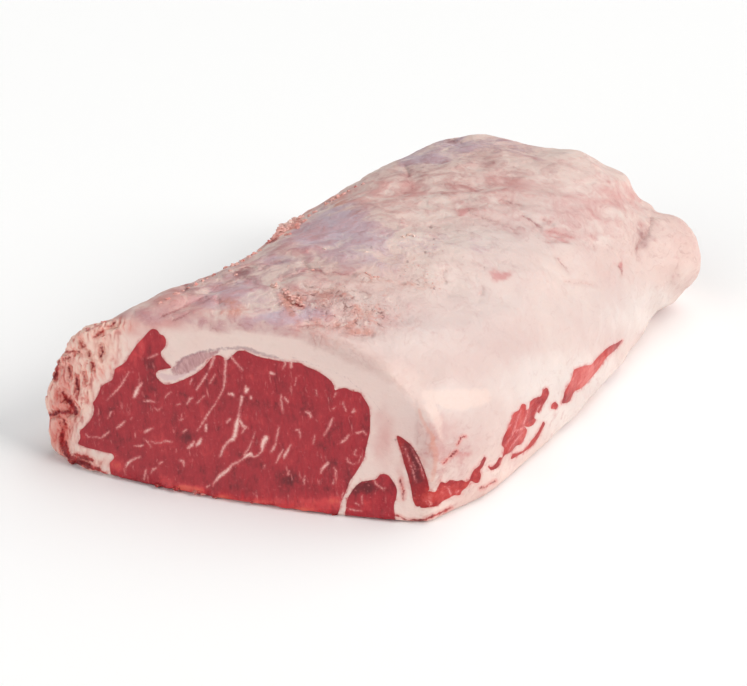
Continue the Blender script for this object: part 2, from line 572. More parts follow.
FAR_LEAN = (0.35, 0.25)  # how much a vein there leans over: mean and spread
FAR_WIDTH = (0.8, 2.6)  # pixels
FAR_THINNEST, FAR_SWELL = 0.7, (0.7, 1.3)  # pixels, and the change from point to point
FAR_POINTS = (2, 6)  # of a vein, the last number left out
FAR_SWAY, FAR_WANDER, FAR_DROP = 6, 1.2, (3, 7)  # pixels from one of its points to the next
FAR_TONE = (0.6, 0.020)  # how much the far face's tone varies, and over what distance
PIXEL = 0.0006  # metres of the near face that a pixel of the photograph shows
NO_VEIN = 12.0  # pixels
SHARP = 50  # degrees between two faces that look sharp
LEAN_WET = {
    "Subsurface Weight": 0.08, "Subsurface Radius": (1.0, 0.2, 0.15), "Subsurface Scale": 0.002,
    "Specular IOR Level": 0.28, "Coat Weight": 0.08, "Coat Roughness": 0.25,
}


def split(obj, picked, cuts):
    """Divides the picked faces' edges evenly, for marks that are finer than the skin."""
    mesh = bmesh.new()
    mesh.from_mesh(obj.data)
    edges = {edge for face in mesh.faces if picked(face) for edge in face.edges}
    bmesh.ops.subdivide_edges(mesh, edges=list(edges), cuts=cuts, use_grid_fill=True)
    bmesh.ops.triangulate(mesh, faces=mesh.faces)
    mesh.to_mesh(obj.data)
    mesh.free()
    obj.data.validate()


def on_near_face(face):
    return face.normal.y < -FACE_LIKE and face.calc_center_median().y < cad_low.y + FACE_DEPTH


def on_far_face(face):
    return face.normal.y > FACE_LIKE and face.calc_center_median().y > cad_high.y - FACE_DEPTH


def written(obj, name, values):
    """Keeps a number for each vertex, for the material to read."""
    kept = obj.data.attributes.new(name, "FLOAT", "POINT")
    kept.data.foreach_set("value", np.asarray(values, np.float32))


def random_veins(count, low, high, seed):
    """Short wandering strokes of (x, y, width) between two corners, most of them steep."""
    draw = np.random.default_rng(seed)
    made = []
    for _ in range(count):
        x, y = draw.uniform(low, high)
        lean_over, width = draw.normal(*FAR_LEAN), draw.uniform(*FAR_WIDTH)
        stroke = []
        for _ in range(draw.integers(*FAR_POINTS)):
            stroke.append((x, y, width))
            x += FAR_SWAY * lean_over + draw.normal(0, FAR_WANDER)
            y += draw.uniform(*FAR_DROP)
            width = max(FAR_THINNEST, width * draw.uniform(*FAR_SWELL))
        made.append(stroke)
    return made


def marbled(obj, veins, tones):
    """Writes the distance to the nearest vein and the tone of the lean, for both cut faces."""
    points, normals = numbers(obj.data, "co"), numbers(obj.data, "normal")
    vein, tone = np.full(len(points), NO_VEIN), np.zeros(len(points))
    near = (normals[:, 1] < -MARBLED_FROM) & (points[:, 1] < cad_low.y + FACE_DEPTH)
    far = (normals[:, 1] > MARBLED_FROM) & (points[:, 1] > cad_high.y - FACE_DEPTH)
    seen = in_photo(points[near])
    vein[near] = np.minimum(outside(seen, veins), NO_VEIN)
    tone[near] = tinted(seen, tones)
    if far.any():
        flat = points[far][:, (0, 2)] / PIXEL
        strokes = random_veins(FAR_VEINS, *FAR_FIELD, seed=5)
        vein[far] = np.minimum(outside(flat, strokes), NO_VEIN)
        tone[far] = FAR_TONE[0] * lumps(points[far], FAR_TONE[1], at=4.0)
    written(obj, "vein", vein)
    written(obj, "tone", tone)
    written(obj, "under", eased(*UNDERSIDE, normals[:, 2]))
    written(obj, "cut", cut_share(points, normals))


class Wire:
    """A socket in a material. Arithmetic adds Math nodes, and node() adds any other kind."""

    def __init__(self, tree, socket=None):
        self.tree, self.socket = tree, socket

    def node(self, kind, settings=None, sockets=None, output=0):
        """A node with its settings, then its sockets' values or wires; gives one output."""
        made = self.tree.nodes.new(kind)
        for name, value in (settings or {}).items():
            setattr(made, name, value)
        for name, value in (sockets or {}).items():
            if isinstance(value, Wire):
                self.tree.links.new(value.socket, made.inputs[name])
            else:
                made.inputs[name].default_value = value
        return Wire(self.tree, made.outputs[output])

    def maths(self, operation, a, b=0.0):
        return self.node("ShaderNodeMath", {"operation": operation}, {0: a, 1: b})

    def __add__(self, other):
        return self.maths("ADD", self, other)

    def __sub__(self, other):
        return self.maths("SUBTRACT", self, other)

    def __rsub__(self, other):
        return self.maths("SUBTRACT", other, self)

    def __mul__(self, other):
        return self.maths("MULTIPLY", self, other)

    __radd__, __rmul__ = __add__, __mul__

    def held(self):
        """Kept between 0 and 1."""
        return self.node("ShaderNodeClamp", None, {"Value": self})

    def eased(self, low, high):
        """0 at low, 1 at high and smooth between."""
        sockets = {"Value": self, "From Min": low, "From Max": high}
        return self.node("ShaderNodeMapRange", {"interpolation_type": "SMOOTHSTEP"}, sockets)

    def kept(self, name):
        """A number that the piece keeps for each vertex."""
        return self.node("ShaderNodeAttribute", {"attribute_name": name}, output=2)

    def place(self, turn=(0, 0, 0), scale=(1, 1, 1)):
        """Object coordinates, turned and then stretched by the scale."""
        here = self.node("ShaderNodeTexCoord", output=3)
        turned = self.node("ShaderNodeMapping", None, {"Vector": here, "Rotation": turn})
        return self.node("ShaderNodeMapping", None, {"Vector": turned, "Scale": scale})

    def grain(self, place, scale, detail=3.0, rough=0.5, warp=0.0):
        """Soft noise about from -1 to 1, scale lumps to the metre."""
        sockets = {"Vector": place, "Scale": scale, "Detail": detail, "Roughness": rough}
        return (self.node("ShaderNodeTexNoise", None, {**sockets, "Distortion": warp}) - 0.5) * 4.0

    def between(self, share, a, b):
        """Colour a where the share is 0 and b where it is 1."""
        return self.node("ShaderNodeMix", {"data_type": "RGBA"}, {0: share, 6: a, 7: b}, output=2)

    def toned(self, share, *shade):
        """This colour where the share is 0 and the other, from 0 to 255, where it is 1."""
        return self.between(share, self, colour(*shade))


def colour(red, green, blue):
    """A colour as seen in a photograph, from 0 to 255, for a shader."""
    def straight(value):
        value /= 255
        return value / 12.92 if value <= 0.04045 else ((value + 0.055) / 1.055) ** 2.4

    return (straight(red), straight(green), straight(blue), 1.0)


def finish_with(base, rough, height, constants):
    """Links these to the material's shader and sets the rest on it."""
    tree = base.tree
    shader = tree.nodes["Principled BSDF"]
    tree.links.new(base.socket, shader.inputs["Base Color"])
    tree.links.new(rough.socket, shader.inputs["Roughness"])
    bump = base.node("ShaderNodeBump", None, {"Height": height, "Strength": 1.0, "Distance": 1.0})
    tree.links.new(bump.socket, shader.inputs["Normal"])
    for socket, value in constants.items():
        shader.inputs[socket].default_value = value


def new_finish(name):
    """A material, and a wire to draw its maths with."""
    material = bpy.data.materials.new(name)
    material.use_nodes = True
    return material, Wire(material.node_tree)


def smooth(obj, material):
    """Gives the piece its material and smooth shading."""
    obj.data.materials.clear()
    obj.data.materials.append(material)
    obj.data.shade_smooth()
    obj.data.set_sharp_from_angle(angle=math.radians(SHARP))


def lean_finish(name, reds, along, pale):
    """Wet lean: red of several depths, fine fibres along one way, and fat where the veins are."""
    deep, mid, bright, orange = reds
    material, w = new_finish(name)
    here = w.place()
    steep = w.place(turn=(0, 0.22, 0), scale=along)
    spots = w.grain(here, 70.0, 4.0, 0.6)
    blots = w.grain(here, 260.0, 4.0, 0.65, 0.5)
    fibres = w.grain(steep, 700.0, 3.0, 0.6, 0.3)
    bundles = w.grain(steep, 230.0, 3.0, 0.55)
    given = w.kept("tone")
    tone = given + spots * 0.4 + blots * 0.45 + bundles * 0.35 + fibres * 0.25
    base = w.between(tone.eased(-1.1, 0.1), colour(*deep), colour(*mid))
    base = base.toned(tone.eased(0.0, 1.2), *bright)
    base = base.toned((given + spots * 0.5 + fibres * 0.2).eased(0.9, 1.7), *orange)
    ragged = w.grain(here, 1100.0, 3.0, 0.6)
    vein = w.kept("vein") + ragged * 0.9 + bundles * 0.3
    cut = w.kept("cut")
    tilted = w.place(turn=(0, 0.25, 0), scale=along)
    flecks = w.grain(tilted, 330.0, 4.0, 0.65).eased(0.4, 1.1) * cut
    crumbly = w.grain(here, 560.0, 3.0, 0.6).eased(0.4, 1.1) * cut
    base = base.toned(crumbly * 0.55, 202, 100, 102)
    base = base.toned(flecks * 0.8, *pale)
    base = base.toned(vein.eased(1.9, 0.0) * 0.4, 196, 92, 94)
    base = base.toned(vein.eased(0.5, -0.9) * 0.8, 220, 146, 142)
    base = base.toned(vein.eased(-0.7, -2.2), 238, 196, 186)
    film = w.grain(here, 55.0, 4.0, 0.6).eased(-0.5, 0.6) * w.kept("under")
    base = base.toned(film * 0.85, 206, 160, 156)
    rough = 0.46 - 0.06 * fibres
    height = fibres * 0.00010 + bundles * 0.00016 + spots * 0.0002
    finish_with(base, rough, height - vein.eased(1.0, -1.0) * 0.0001, LEAN_WET)
    return material


LEAN_REDS = ((104, 18, 28), (163, 34, 45), (198, 58, 62), (216, 92, 78))
lean = lean_finish("lean", LEAN_REDS, along=(1.0, 1.0, 0.2), pale=(212, 120, 118))


def muscle(source, name, edge, sides, node, veins):
    """Cuts a muscle out of the source and dresses it; gives it and what is left."""
    made, left = parted(source, muscle_tube(edge, sides, node))
    made.name = made.data.name = name
    split(made, on_near_face, NEAR_CUTS)
    split(made, on_far_face, FAR_CUTS)
    marbled(made, veins, LEAN_TONES)
    smooth(made, lean)
    return made, left


eye, rest = muscle(loin, "eye_of_lean", EYE_EDGE, EYE_SIDES, "eye_muscle", MARBLING)
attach(eye, "root")
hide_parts("eye_muscle")

# The side muscle: a small round lean that runs beside the eye, under the flank side's fat, and
# is cut across its grain with it.
SIDE_EDGE = (
    (346, 507), (348, 498), (352, 491), (356, 486), (361, 482), (366, 481), (371, 480), (376, 479),
    (380, 475), (384, 474), (389, 476), (394, 483), (397, 490), (396, 499), (394, 506), (394, 530),
    (370, 535), (346, 530),
)
SIDE_SIDES = 120
SIDE_VEINS = (
    ((374, 479, 1.8), (376, 484, 1.6), (380, 487, 1.2), (383, 489, 1.6), (385, 488, 0.8)),
    ((362, 496, 1.4), (362, 503, 1.6)), ((346, 508, 1.2), (354, 510, 1.6), (362, 511, 1)),
    ((355, 503, 0.9), (359, 505, 0.9)),
)
side, rest = muscle(rest, "side_muscle_lean", SIDE_EDGE, SIDE_SIDES, "side_muscle", SIDE_VEINS)
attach(side, "root")
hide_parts("side_muscle")

# The flank muscle: a thin bright red muscle. It opens as a dark slit in the near face and then
# shows along the flank side, in torn patches where the fat over it was trimmed away.
FLANK_EDGES = (
    ((397, 436), (401, 437), (405, 440), (410, 444), (416, 452), (421, 462), (425, 472), (428, 482),
     (429, 490), (424, 494), (421, 500), (420, 506), (416, 506), (413, 500), (411, 489), (408, 476),
     (404, 463), (401, 451), (398, 443)),
    ((420, 507), (420, 500), (424, 494), (429, 491), (435, 492), (438, 487), (441, 482), (446, 483),
     (450, 480), (457, 481), (462, 480), (466, 482), (470, 479), (472, 473), (475, 469), (479, 466),
     (481, 462), (484, 457), (486, 459), (483, 466), (480, 471), (481, 475), (479, 482), (475, 483),
     (471, 481), (467, 487), (462, 491), (460, 495), (455, 495), (449, 498), (443, 501), (437, 506),
     (430, 507), (424, 508)),
    ((488, 466), (492, 467), (496, 463), (499, 458), (502, 458), (500, 464), (497, 468),
     (491, 470)),
    ((501, 461), (503, 455), (504, 448), (502, 445), (503, 438), (507, 430), (511, 420), (514, 413),
     (519, 410), (522, 404), (526, 405), (526, 410), (529, 408), (530, 402), (535, 398), (541, 396),
     (543, 390), (547, 388), (549, 393), (547, 399), (543, 405), (539, 413), (537, 412), (534, 417),
     (536, 420), (533, 425), (528, 427), (524, 426), (527, 430), (525, 437), (521, 444), (516, 446),
     (511, 452), (505, 455)),
    ((511, 458), (513, 454), (518, 453), (525, 449), (531, 441), (536, 435), (540, 428), (543, 422),
     (545, 424), (542, 430), (538, 438), (532, 446), (524, 452), (517, 456), (512, 459)),
    ((551, 408), (552, 404), (555, 402), (558, 405), (556, 409), (552, 409)),
    ((562, 403), (563, 399), (565, 391), (569, 384), (572, 377), (574, 370), (578, 368), (584, 366),
     (589, 365), (592, 364), (596, 359), (601, 354), (606, 349), (612, 345), (617, 343), (622, 340),
     (618, 347), (613, 352), (607, 357), (602, 364), (598, 370), (592, 377), (586, 384), (580, 389),
     (575, 391), (572, 396), (570, 401), (566, 403)),
)
FLANK_SIDES = 90
FLANK_DEPTH = 0.006  # how deep it reaches under the skin
FLECKED = (-0.5, 0.6)  # tones at which the flecks of fat start and are complete
FLANK_CUTS = 1
flank_parts = []
for edge in FLANK_EDGES:
    part, rest = parted(rest, inlay(edge, FLANK_SIDES, FLANK_DEPTH))
    flank_parts.append(part)
flank_mesh = bmesh.new()
for part in flank_parts:
    flank_mesh.from_mesh(part.data)
flank = linked("flank_muscle_lean", flank_mesh)
FLANK_VEINS = (
    ((405, 448, 0.7), (409, 460, 1.2), (413, 472, 1.4), (416, 482, 0.9)),
    ((411, 447, 0.6), (415, 455, 1), (418, 462, 0.8)),
    ((417, 456, 0.6), (420, 464, 1.2), (422, 471, 1.4), (424, 478, 0.7)),
    ((413, 462, 0.6), (416, 470, 0.8)), ((448, 488, 1), (450, 492, 1.8), (451, 496, 1.2)),
    ((456, 493, 1.6), (459, 491, 1)), ((424, 500, 1), (428, 504, 0.8)),
    ((505, 447, 0.8), (512, 436, 0.9), (516, 424, 0.8), (521, 410, 0.8)),
    ((509, 450, 0.8), (516, 440, 1), (522, 433, 0.8)),
    ((514, 431, 1.6), (519, 430, 1.2), (524, 428, 1.6)),
    ((524, 424, 0.9), (527, 414, 1), (529, 406, 1.2)), ((536, 413, 0.9), (540, 405, 0.8)),
    ((508, 428, 0.8), (511, 424, 0.8)),
)
FLANK_TONES = (
    (412, 450, 6, 10, -0.8), (418, 464, 6, 10, -1.2), (416, 476, 4, 10, -0.8),
    (424, 482, 4, 10, -0.6), (400, 446, 2.5, 8, 0.5), (421, 470, 2, 5, 0.9),
    (409, 484, 2.5, 12, 0.3), (416, 500, 5, 6, 0.3), (428, 500, 8, 8, 1), (445, 492, 20, 10, 0.9),
    (475, 474, 8, 10, 0.8), (520, 425, 24, 34, 1.1), (590, 372, 34, 28, 1.6), (555, 406, 5, 5, 0.5),
)
split(flank, lambda face: True, FLANK_CUTS)
points = numbers(flank.data, "co")
seen = in_photo(points)
tone = tinted(seen, FLANK_TONES)
written(flank, "vein", np.minimum(outside(seen, FLANK_VEINS), NO_VEIN))
written(flank, "tone", tone)
written(flank, "under", np.zeros(len(points)))
written(flank, "cut", eased(*FLECKED, tone))
FLANK_REDS = ((104, 24, 32), (150, 28, 34), (186, 56, 52), (210, 104, 98))
flank_lean = lean_finish("flank lean", FLANK_REDS, along=(1.0, 0.12, 0.7), pale=(228, 150, 144))
smooth(flank, flank_lean)
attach(flank, "root")
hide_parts("flank_muscle")
for part in flank_parts:
    bpy.data.objects.remove(part)


# The fat: a thick cream cap over the top, torn and folded down the chain side on the left, with
# a thin grey and lilac membrane on it, and pink where it was pulled off the hide.

# Tints of the fat as (x, y, reach across, reach down, how much) in pixels of the photograph.
COOL = (
    (340, 215, 25, 12, 0.8), (305, 236, 18, 10, 0.8), (330, 232, 22, 10, 0.5),
    (272, 260, 16, 5, 0.6), (300, 314, 28, 6, 0.8), (265, 320, 30, 6, 0.6), (212, 308, 18, 8, 0.6),
    (225, 292, 16, 6, 0.5), (430, 158, 30, 8, 0.9), (455, 143, 20, 6, 0.6), (410, 160, 12, 8, 0.6),
    (160, 312, 14, 10, 0.5), (140, 318, 20, 7, 0.5), (255, 300, 25, 10, 0.4),
    (350, 250, 40, 8, 0.3), (380, 262, 30, 10, 0.3), (460, 245, 50, 12, 0.25),
    (500, 145, 60, 8, 0.5), (560, 155, 30, 8, 0.3), (185, 322, 14, 5, 0.4), (240, 285, 90, 36, 0.4),
    (320, 240, 60, 28, 0.4), (222, 290, 20, 6, 0.6), (245, 284, 14, 5, 0.4), (285, 318, 34, 5, 0.5),
    (345, 225, 26, 12, 0.5), (200, 300, 14, 6, 0.5), (370, 235, 30, 10, 0.35),
    (120, 335, 16, 10, 0.3), (400, 245, 40, 10, 0.25),
)
WARM = (
    (332, 199, 12, 6, 0.9), (291, 223, 10, 5, 1.2), (283, 232, 8, 6, 0.9), (292, 299, 12, 8, 1),
    (335, 292, 22, 8, 0.7), (362, 310, 12, 8, 0.7), (370, 276, 7, 3, 0.9), (335, 326, 35, 6, 0.6),
    (360, 333, 18, 5, 0.6), (420, 286, 16, 5, 0.6), (385, 281, 14, 3, 0.5),
    (240, 305, 30, 10, 0.35), (160, 300, 20, 10, 0.4), (215, 270, 20, 5, 0.4),
    (520, 285, 30, 12, 0.3), (590, 300, 40, 14, 0.2), (232, 313, 26, 5, 0.6),
    (432, 447, 4, 18, 0.7), (300, 337, 30, 5, 0.25), (340, 350, 30, 6, 0.25),
    (225, 320, 16, 6, 0.4),
)
PINK = (
    (503, 274, 12, 4, 1.3), (462, 210, 6, 4, 1), (556, 236, 12, 5, 0.6), (590, 236, 20, 4, 0.4),
    (138, 328, 14, 8, 0.6), (160, 321, 26, 7, 0.5), (500, 290, 20, 12, 0.25),
    (340, 195, 16, 8, 0.4), (618, 263, 4, 4, 1.3), (628, 195, 15, 10, 0.4), (412, 190, 12, 9, 0.5),
    (570, 160, 15, 5, 0.4), (440, 430, 40, 18, 0.4), (450, 455, 25, 12, 0.4),
    (425, 465, 6, 25, 0.5), (466, 455, 8, 2, 0.8), (380, 190, 30, 12, 0.35), (300, 250, 20, 6, 0.4),
    (250, 262, 14, 6, 0.4), (350, 330, 30, 8, 0.35), (290, 285, 30, 6, 0.35),
    (495, 185, 40, 14, 0.3), (330, 275, 25, 5, 0.35), (370, 500, 26, 3, 0.6), (352, 506, 9, 4, 0.5),
    (220, 300, 110, 40, 0.45), (460, 185, 130, 35, 0.32), (380, 215, 70, 40, 0.2),
    (340, 320, 50, 16, 0.3), (150, 305, 40, 16, 0.3), (180, 300, 60, 30, 0.28),
    (300, 240, 50, 26, 0.45), (560, 222, 60, 24, 0.38), (600, 198, 40, 20, 0.4),
    (384, 440, 12, 36, 0.75), (404, 478, 6, 30, 0.7), (190, 312, 24, 10, 0.2),
    (437, 468, 8, 26, 0.5),
)
SHADE = (
    (490, 163, 10, 5, 0.5), (515, 171, 10, 4, 0.5), (553, 168, 12, 8, 0.4), (451, 141, 8, 3, 0.9),
    (643, 236, 8, 12, 0.75), (637, 249, 6, 8, 0.4), (415, 175, 18, 15, 0.35),
    (470, 190, 40, 12, 0.2), (590, 205, 20, 12, 0.15), (270, 240, 8, 4, 0.9), (325, 205, 6, 3, 0.7),
    (372, 205, 6, 3, 0.5), (358, 210, 4, 3, 0.5), (392, 215, 5, 3, 0.4), (240, 273, 8, 3, 0.8),
    (190, 288, 8, 4, 0.6), (430, 228, 4, 3, 0.5), (420, 160, 30, 14, 0.2), (340, 296, 16, 7, 0.6),
    (324, 306, 8, 4, 0.5), (250, 265, 120, 30, 0.35), (440, 165, 100, 26, 0.2),
    (380, 220, 80, 24, 0.08), (190, 300, 50, 16, 0.2), (320, 315, 40, 14, 0.25),
    (230, 276, 14, 4, 0.4), (170, 312, 16, 5, 0.35), (300, 227, 8, 3, 0.5), (64, 440, 8, 14, 0.5),
    (505, 149, 60, 7, 0.45), (150, 321, 22, 5, 0.3),
)
CREAM = (
    (450, 400, 35, 20, 1), (520, 380, 40, 20, 0.9), (560, 370, 40, 20, 0.8),
    (620, 320, 30, 18, 0.6), (590, 255, 40, 20, 0.4), (660, 260, 20, 25, 0.5),
    (540, 280, 50, 25, 0.4), (400, 345, 60, 14, 0.5), (220, 336, 40, 6, 0.7),
    (270, 343, 30, 5, 0.5), (412, 236, 10, 3, 1.2), (385, 237, 10, 2, 0.7), (600, 241, 12, 4, 0.8),
    (565, 170, 12, 5, 0.4), (600, 175, 16, 10, 0.5), (150, 300, 10, 6, 0.3), (175, 340, 10, 8, 0.6),
    (440, 340, 60, 20, 0.3), (540, 215, 10, 3, 0.8), (545, 240, 30, 6, 0.5),
    (100, 344, 17, 16, 1.3), (74, 366, 12, 14, 0.6), (222, 290, 20, 7, 0.6),
    (375, 252, 32, 22, 0.4), (540, 190, 20, 8, 0.4), (123, 366, 5, 18, 1), (94, 392, 6, 10, 1),
    (75, 443, 5, 14, 1), (500, 470, 30, 12, 0.7), (560, 415, 30, 14, 0.9), (610, 370, 30, 14, 0.9),
    (655, 320, 25, 14, 0.9), (475, 440, 20, 20, 0.4), (95, 457, 16, 3.5, 1), (86, 428, 4, 6, 0.4),
    (380, 450, 6, 22, 0.5), (385, 420, 8, 16, 0.5),
)
# Lines of blood in the fat, beside the clefts.
BLOOD = (
    ((443, 463, 1.2), (448, 459, 1.4), (454, 453, 1.2), (457, 451, 0.8)),
    ((458, 444, 1.6), (461, 438, 1.2), (466, 436, 0.8)),
    ((409, 520, 1.5), (415, 521, 2), (420, 521, 2), (428, 518, 2), (436, 515, 2), (443, 512, 2),
     (449, 509, 1.6), (452, 507, 1)),
    ((346, 518, 2), (356, 516, 3), (370, 515, 3.5), (384, 514, 3), (396, 516, 2.2),
     (405, 519, 1.4)),
    ((400, 478, 1), (403, 488, 1.4), (404, 498, 1)),
    ((283, 228, 2), (292, 226, 2.5), (300, 222, 2)), ((270, 241, 3), (276, 238, 2)),
    ((296, 304, 1), (300, 306, 1.4), (303, 307, 0.8)),
    ((480, 489, 0.6), (488, 485, 0.8), (495, 481, 0.6)), ((76, 455, 3), (85, 457, 4), (92, 460, 3)),
)
# Dark specks on the cap, as (x, y, width).
SPECKS = (
    (341, 296, 3.2), (353, 298, 3), (324, 306, 3.4), (331, 293, 1.8), (333, 298, 1.6),
    (345, 287, 1.8), (347, 311, 1.6), (327, 313, 1.6), (315, 303, 1.6), (322, 311, 1.8),
    (373, 309, 2.8), (376, 313, 1.8), (383, 317, 3), (365, 336, 2.4), (364, 299, 1.4),
    (355, 333, 1.4), (408, 262, 2), (418, 285, 2.4), (434, 289, 1.8), (400, 276, 1.4),
    (431, 227, 2.6), (434, 240, 2), (425, 252, 2.6), (469, 210, 1.6), (404, 271, 1.2),
    (463, 257, 1.2), (485, 268, 1.4), (396, 440, 2.6), (440, 464, 1.6), (463, 450, 1.6),
    (307, 327, 1.6), (318, 322, 1.4), (300, 304, 1.8), (366, 252, 2), (372, 248, 1.6),
)
# The silverskin that shows as a grey-mauve band in the cut fat, over the eye.
FILM = (
    ((174, 371, 6), (183, 366, 14), (192, 362, 15), (201, 358, 12), (209, 355, 7), (218, 351, 3)),
)
# The thin grey lines of silverskin that run on from it.
SILVER = (
    ((176, 370, 1.2), (180, 362, 1.6), (188, 356, 1.6), (197, 353, 1.6), (206, 351, 1.6),
     (216, 349, 1.6), (228, 348, 2), (240, 348, 2.4), (250, 349.5, 3), (260, 353, 3),
     (271, 356, 2.2), (284, 360, 1.2)),
    ((289, 357, 0), (305, 361, -0.2), (322, 367, -0.4), (334, 372, -0.4), (345, 377, -0.3),
     (358, 387, -0.3), (368, 395, -0.4), (380, 410, -0.6), (392, 425, -0.8)),
)
# Where the side's fat is palest, with a crisp edge along the fold beside the near face.
BRIGHT = (
    ((426, 395, 14), (444, 399, 22), (462, 400, 24), (484, 397, 18)),
    ((430, 406, 14), (437, 418, 12), (440, 430, 8), (441, 440, 5)),
    ((216, 339, 6), (250, 342, 6), (285, 348, 5), (310, 355, 4)), ((183, 346, 8), (178, 336, 6)),
)
# The whitish lower lip of the silverskin.
LIP = (
    ((161, 375, 4), (168, 378, 6), (176, 376, 5), (185, 373, 3), (196, 369, 2)),
)
# Thin dark red lines in the membrane.
RED_LINES = (
    ((160, 318, 1), (168, 314, 1.6), (178, 309, 1.8), (188, 304, 1.6), (197, 300, 1.2),
     (206, 296, 0.8)),
    ((174, 321, 0.8), (182, 317, 1), (190, 312, 0.8)),
    ((203, 303, 0.8), (209, 299, 1), (214, 296, 0.8)),
    ((235, 272, 1.4), (240, 270, 1.8), (247, 268, 1.2), (254, 268, 0.8)),
    ((212, 288, 0.8), (222, 285, 1), (232, 281, 0.8)),
    ((301, 271, 0.8), (308, 269, 1.2), (314, 270, 1.4), (321, 272, 0.8)),
    ((334, 272, 0.8), (342, 274, 1.2), (350, 275, 0.8)),
    ((620, 266, 0.8), (622, 271, 1), (622, 275, 0.6)),
    ((503, 226, 0), (510, 229, 0.4), (517, 231, 0)),
    ((470, 187, 0.6), (476, 192, 1.2), (482, 190, 0.8)),
    ((558, 258, 0.2), (561, 263, 0.6), (566, 268, 0.2)),
    ((522, 215, 0.2), (530, 220, 0.6), (540, 226, 0.2)),
    ((262, 245, 1), (267, 242, 2), (273, 239, 1.4)),
    ((86, 331, 0.8), (95, 326, 1.4), (104, 322, 1.8), (112, 320, 1.2)),
)
# The fold down the side's fat, beside the slit.
FOLD = (
    ((419, 410, 1), (422, 420, 1.2), (428, 430, 1.6), (432, 437, 2), (434, 445, 2.4),
     (436, 455, 2.6), (435, 468, 2.4), (432, 480, 2)),
)
TEAR_DEPTH, TEAR_SPACING = 0.0005, 0.0075  # the small folds of the chain side's torn fat
TEAR_STRETCH = (1.5, 1.0, 0.45)
TEAR_FINER = 2.3  # how many times closer together the finest of them lie
TEAR_CLEFTS = (0.13, 0.15)  # how wide the clefts are between the broad and between the fine ones
TEAR_SHALLOW = 0.6  # how deep the fine clefts are, beside the broad ones
TORN_ENOUGH = 0.2  # share from which fat is torn enough for that
TORN_FINE = 0.07  # how far from the near end the torn fat is made finer
CHAIN_FROM = (0.03, 0.09)  # how far from it the torn fat turns into the chain side's dark strands
SHOWN_DEPTH = 0.0008  # a face deeper than this under the skin is inside a muscle's tunnel
FAT_CUTS = 1
MARK_REACH, DARK_REACH = 2.5, 0.4  # pixels round the marks, and round the darkest, made finer
WARP = (7, 0.010)  # how far tints wander, in pixels, and over what distance
STRAY = (1.6, 0.004)  # the same for lines
FRONT = (0.0, 0.2)  # turn to the camera at which the photograph starts to tell and tells all
HIDDEN_SPACING = 0.035  # of the tints that the photograph doesn't show
RIM_SOFT = (-2.0, 2.0)  # pixels over which the rim blurs
SHORE_UP, SHORE_DOWN, SHORE_END = (-1, 2), (20, 6), (330, 260)  # of the grey band along the rim
STRONGEST = 1.4  # where soft spots lie over each other
FAT_SOFT = {
    "Subsurface Weight": 0.15, "Subsurface Radius": (1.0, 0.45, 0.35), "Subsurface Scale": 0.003,
    "Specular IOR Level": 0.35, "Coat Weight": 0.1, "Coat Roughness": 0.35,
}
# The upper edge of the cut face, past which the top's membrane starts, from left to right.
RIM = (
    (120, 318), (150, 326), (165, 320), (185, 322), (211, 331), (260, 332), (296, 337), (323, 350),
    (341, 359), (370, 372), (395, 385), (415, 398), (418, 470), (420, 560),
)
# Where the fat's tints are calmest.
CALM = (
    (530, 320, 110, 60, 1), (590, 285, 50, 45, 0.6), (480, 400, 80, 50, 0.8),
    (400, 360, 60, 20, 0.8), (570, 190, 50, 25, 0.5),
)
# The greyer fat of the flank side.
DIM = (
    (570, 390, 130, 70, 0.75), (450, 425, 45, 60, 1), (630, 285, 60, 50, 0.6),
    (530, 230, 80, 40, 0.9), (600, 200, 60, 30, 0.3), (385, 310, 80, 36, 0.6),
    (430, 345, 80, 26, 0.95), (510, 370, 40, 18, 0.4), (490, 290, 60, 40, 0.55),
    (600, 318, 60, 26, 0.3),
)
# Where the fat is whitest.
PALE = (
    (530, 305, 90, 36, 0.7), (420, 330, 50, 20, 0.3), (480, 240, 60, 16, 0.4),
    (640, 310, 40, 30, 0.7), (565, 395, 60, 45, 1.4), (657, 305, 15, 14, 1.2),
    (450, 400, 30, 16, 0.3),
)
# Where the torn end is reddest.
RAW = (
    (62, 405, 14, 32, 1.3), (60, 440, 12, 20, 0.9), (100, 372, 14, 14, 0.5), (90, 465, 24, 7, 0.9),
    (85, 350, 16, 10, 0.4), (70, 375, 10, 14, 0.25),
)
# Where the top is finely pitted and stained.
PITTED = (
    (330, 300, 44, 15, 1.1), (350, 322, 44, 12, 0.9), (292, 300, 14, 10, 0.8),
    (375, 310, 20, 10, 0.7), (420, 283, 26, 7, 0.6), (371, 277, 12, 4, 0.7), (410, 265, 16, 8, 0.4),
    (320, 265, 30, 6, 0.3), (425, 245, 20, 10, 0.3),
)
fat = rest
fat.name = fat.data.name = "fat_cap"


def faces(data):
    """The centres and normals of a mesh's faces."""
    values = np.empty((2, len(data.polygons) * 3), np.float32)
    data.polygons.foreach_get("center", values[0])
    data.polygons.foreach_get("normal", values[1])
    return values.reshape(2, -1, 3).astype(float)


def torn(points, spacing, at):
    """Relief of long folds with narrow winding clefts between them, from -1 to 1."""
    broad, fine = lumps(points, spacing, 2, at), lumps(points, spacing / TEAR_FINER, 2, at + 5)
    wide, narrow = (np.exp(-((one / gap) ** 2)) for one, gap in zip((broad, fine), TEAR_CLEFTS))
    return 1 - 2 * np.maximum(wide, TEAR_SHALLOW * narrow)


def drifted(places, points, drift, *at):
    """The places in the photograph, each moved a little, so that no mark has an even edge."""
    ways = [lumps(points, drift[1], at=one) for one in at]
    return places + drift[0] * np.stack(ways, axis=1)


